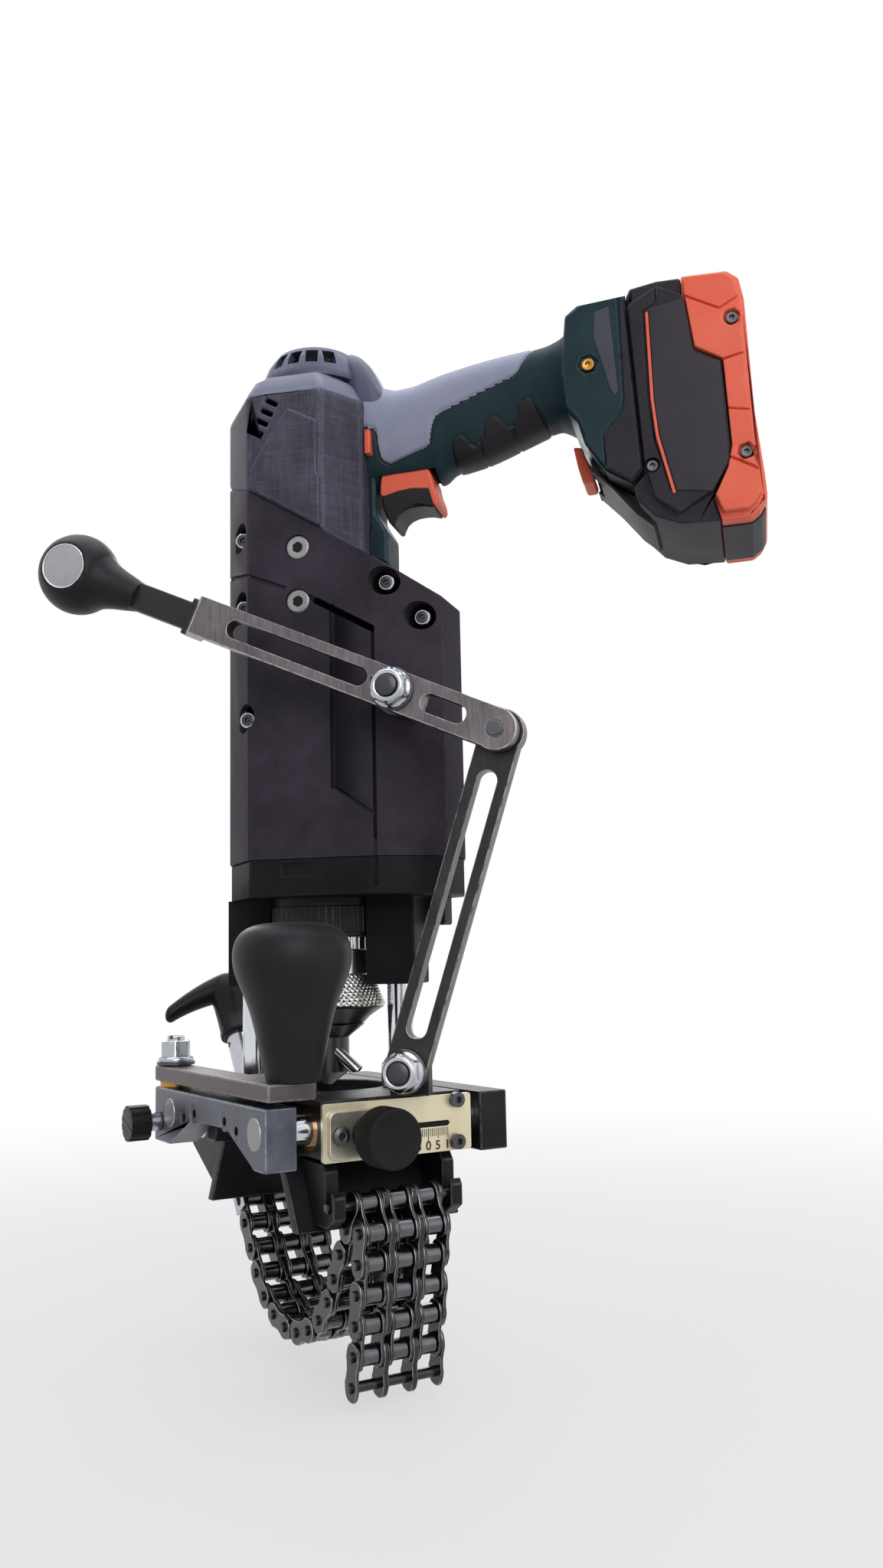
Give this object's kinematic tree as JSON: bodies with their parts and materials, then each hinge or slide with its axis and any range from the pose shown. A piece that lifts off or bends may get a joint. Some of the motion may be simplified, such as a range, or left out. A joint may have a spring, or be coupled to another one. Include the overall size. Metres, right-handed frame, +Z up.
{
  "type": "pipe collaring machine",
  "caption": "Pipe collaring machine: battery drive on guide columns with a hand feed lever, on a cross-slide table over a vee saddle that a roller chain clamps to a pipe.",
  "frame": {"origin": "on the axis of the clamped pipe, straight under the spindle", "axes": "+X along the pipe, +Y from the scale side to the tightener side, +Z up along the spindle towards the motor"},
  "size_m": [0.3049, 0.3163, 0.4856],
  "materials": {
    "black_steel": "satin",
    "grey_steel": "satin",
    "bright_steel": "polished",
    "screw_steel": "satin",
    "chain_steel": "oiled",
    "bronze": "satin",
    "black_rubber": "matte",
    "black_plastic": "matte",
    "ivory_plate": "satin",
    "zinc_plate": "satin",
    "charcoal_plastic": "fine texture",
    "teal_plastic": "matte",
    "dark_lever": "brushed",
    "orange_plastic": "satin",
    "nickel": "knurled",
    "tool_steel": "satin",
    "motor_steel": "satin",
    "winding": "satin"
  },
  "bodies": {
    "saddle": {"saddle_block": "black_steel", "left_end_bar": "grey_steel", "right_end_bar": "black_steel", "cross_rods": "bright_steel", "base_screws": "screw_steel", "leg_brackets": "black_steel", "chain_wrap": "chain_steel", "tension_trunnion": "screw_steel", "sway_pivot_bolt": "bright_steel", "sway_bush": "bronze"},
    "tension_rod": {"tension_rod": "screw_steel"},
    "tee": {"tee_handle": "black_plastic", "tee_socket": "bright_steel"},
    "sway": {"sway_lever": "grey_steel", "sway_grip": "black_rubber"},
    "lock": {"lock_knob": "black_plastic"},
    "table": {"slide_table": "black_steel", "guide_columns": "bright_steel", "slide_bushes": "bronze", "scale_plate": "ivory_plate", "table_screws": "screw_steel", "link_bracket": "black_steel", "link_bolt": "bright_steel", "drive_pin": "bright_steel"},
    "stop": {"stop_plate": "zinc_plate"},
    "stop_turn": {"stop_knob": "black_plastic"},
    "carriage": {"front_casing": "black_plastic", "rear_casing": "black_plastic", "casing_skirt": "black_plastic", "column_sleeves": "bronze", "motor_cover": "charcoal_plastic", "vent_cap": "charcoal_plastic", "handle_shell": "teal_plastic", "handle_grip": "black_rubber", "battery_foot": "teal_plastic", "casing_screws": "screw_steel", "lever_stud": "bright_steel", "motor_stator": "winding", "gear_case": "motor_steel", "switch_module": "black_plastic"},
    "lever": {"feed_lever": "dark_lever", "ball_knob": "black_rubber", "link_pin": "bright_steel"},
    "link": {"feed_link": "dark_lever"},
    "spindle": {"spindle": "nickel", "chuck_sleeve": "nickel", "collaring_head": "tool_steel"},
    "rotor": {"motor_rotor": "motor_steel"},
    "pin_a": {"forming_pin_a": "nickel"},
    "pin_b": {"forming_pin_b": "nickel"},
    "trigger": {"trigger": "orange_plastic"},
    "direction": {"direction_button": "orange_plastic"},
    "battery": {"battery_case": "black_plastic", "battery_bumpers": "orange_plastic"},
    "release": {"release_button": "orange_plastic"},
    "tail_1": {"tail_link_1": "chain_steel"},
    "tail_2": {"tail_link_2": "chain_steel"},
    "tail_3": {"tail_link_3": "chain_steel"},
    "tail_4": {"tail_link_4": "chain_steel"},
    "tail_5": {"tail_link_5": "chain_steel"}
  },
  "joints": [
    {"name": "feed_slide", "type": "slide", "parent": "table", "child": "carriage", "axis": [0, 0, -1], "range_m": [0, 0.038]},
    {"name": "feed_lever", "type": "hinge", "parent": "carriage", "child": "lever", "pos_m": [-0.0053, -0.08096, 0.234], "axis": [0.7071, 0.7071, 0], "range_deg": [-50, 1]},
    {"name": "feed_link", "type": "hinge", "parent": "table", "child": "link", "pos_m": [0.00106, -0.0746, 0.0705], "axis": [0.7071, 0.7071, 0], "range_deg": [-0.5, 0.1]},
    {"name": "cross_slide", "type": "slide", "parent": "saddle", "child": "table", "axis": [1, 0, 0], "range_m": [-0.009, 0.009]},
    {"name": "sway_lever", "type": "hinge", "parent": "saddle", "child": "sway", "pos_m": [-0.0515, 0.065, 0.064], "axis": [0, 0, 1], "range_deg": [-5.8, 5.8]},
    {"name": "tee_turn", "type": "hinge", "parent": "saddle", "child": "tee", "pos_m": [0, 0.08204, 0.03626], "axis": [0, 0.5519, 0.8339], "range_deg": [-180, 180]},
    {"name": "tension_slide", "type": "slide", "parent": "saddle", "child": "tension_rod", "axis": [0, 0.5519, 0.8339], "range_m": [-0.00075, 0.00075]},
    {"name": "lock_turn", "type": "hinge", "parent": "saddle", "child": "lock", "pos_m": [-0.07, 0.065, 0.0415], "axis": [1, 0, 0], "range_deg": [-180, 180]},
    {"name": "stop_slide", "type": "slide", "parent": "table", "child": "stop", "axis": [1, 0, 0], "range_m": [-0.008, 0.008]},
    {"name": "stop_turn", "type": "hinge", "parent": "stop", "child": "stop_turn", "pos_m": [-0.015, -0.08, 0.0452], "axis": [0, 1, 0], "range_deg": [-180, 180]},
    {"name": "spindle_turn", "type": "hinge", "parent": "carriage", "child": "spindle", "pos_m": [0, 0, 0.12], "axis": [0, 0, 1], "continuous": true},
    {"name": "rotor_turn", "type": "hinge", "parent": "carriage", "child": "rotor", "pos_m": [0, 0, 0.36], "axis": [0, 0, 1], "continuous": true},
    {"name": "pin_a_slide", "type": "slide", "parent": "spindle", "child": "pin_a", "axis": [0.5296, -0.5296, -0.6626], "range_m": [-0.005, 0.003]},
    {"name": "pin_b_slide", "type": "slide", "parent": "spindle", "child": "pin_b", "axis": [-0.5296, 0.5296, -0.6626], "range_m": [-0.005, 0.003]},
    {"name": "trigger_press", "type": "slide", "parent": "carriage", "child": "trigger", "axis": [0, 0, 1], "range_m": [0, 0.007], "stiffness_N_per_m": 600, "springref_m": -0.002},
    {"name": "direction_slide", "type": "slide", "parent": "carriage", "child": "direction", "axis": [0.7071, 0.7071, 0], "range_m": [-0.004, 0.004]},
    {"name": "battery_slide", "type": "slide", "parent": "carriage", "child": "battery", "axis": [0.0462, -0.0462, -0.9979], "range_m": [0, 0.08]},
    {"name": "release_press", "type": "slide", "parent": "battery", "child": "release", "axis": [0.7071, -0.7071, 0], "range_m": [0, 0.0015], "stiffness_N_per_m": 800, "springref_m": -0.001},
    {"name": "tail_hinge_1", "type": "hinge", "parent": "saddle", "child": "tail_1", "pos_m": [0, -0.07035, 0.005], "axis": [1, 0, 0], "range_deg": [-45, 6]},
    {"name": "tail_hinge_2", "type": "hinge", "parent": "tail_1", "child": "tail_2", "pos_m": [0, -0.06858, -0.00758], "axis": [1, 0, 0], "range_deg": [-45, 6]},
    {"name": "tail_hinge_3", "type": "hinge", "parent": "tail_2", "child": "tail_3", "pos_m": [0, -0.06681, -0.02015], "axis": [1, 0, 0], "range_deg": [-45, 6]},
    {"name": "tail_hinge_4", "type": "hinge", "parent": "tail_3", "child": "tail_4", "pos_m": [0, -0.06505, -0.03273], "axis": [1, 0, 0], "range_deg": [-45, 6]},
    {"name": "tail_hinge_5", "type": "hinge", "parent": "tail_4", "child": "tail_5", "pos_m": [0, -0.06328, -0.0453], "axis": [1, 0, 0], "range_deg": [-45, 6]}
  ],
  "couplings": [
    {"joint": "feed_lever", "follows": "feed_slide", "rad_per_m": -20.962},
    {"joint": "feed_link", "follows": "feed_slide", "rad_per_m": -0.11482},
    {"joint": "sway_lever", "follows": "cross_slide", "rad_per_m": 10.646},
    {"joint": "tee_turn", "follows": "tension_slide", "rad_per_m": 4188.8},
    {"joint": "rotor_turn", "follows": "spindle_turn", "ratio": 12},
    {"joint": "pin_b_slide", "follows": "pin_a_slide", "ratio": 1}
  ]
}
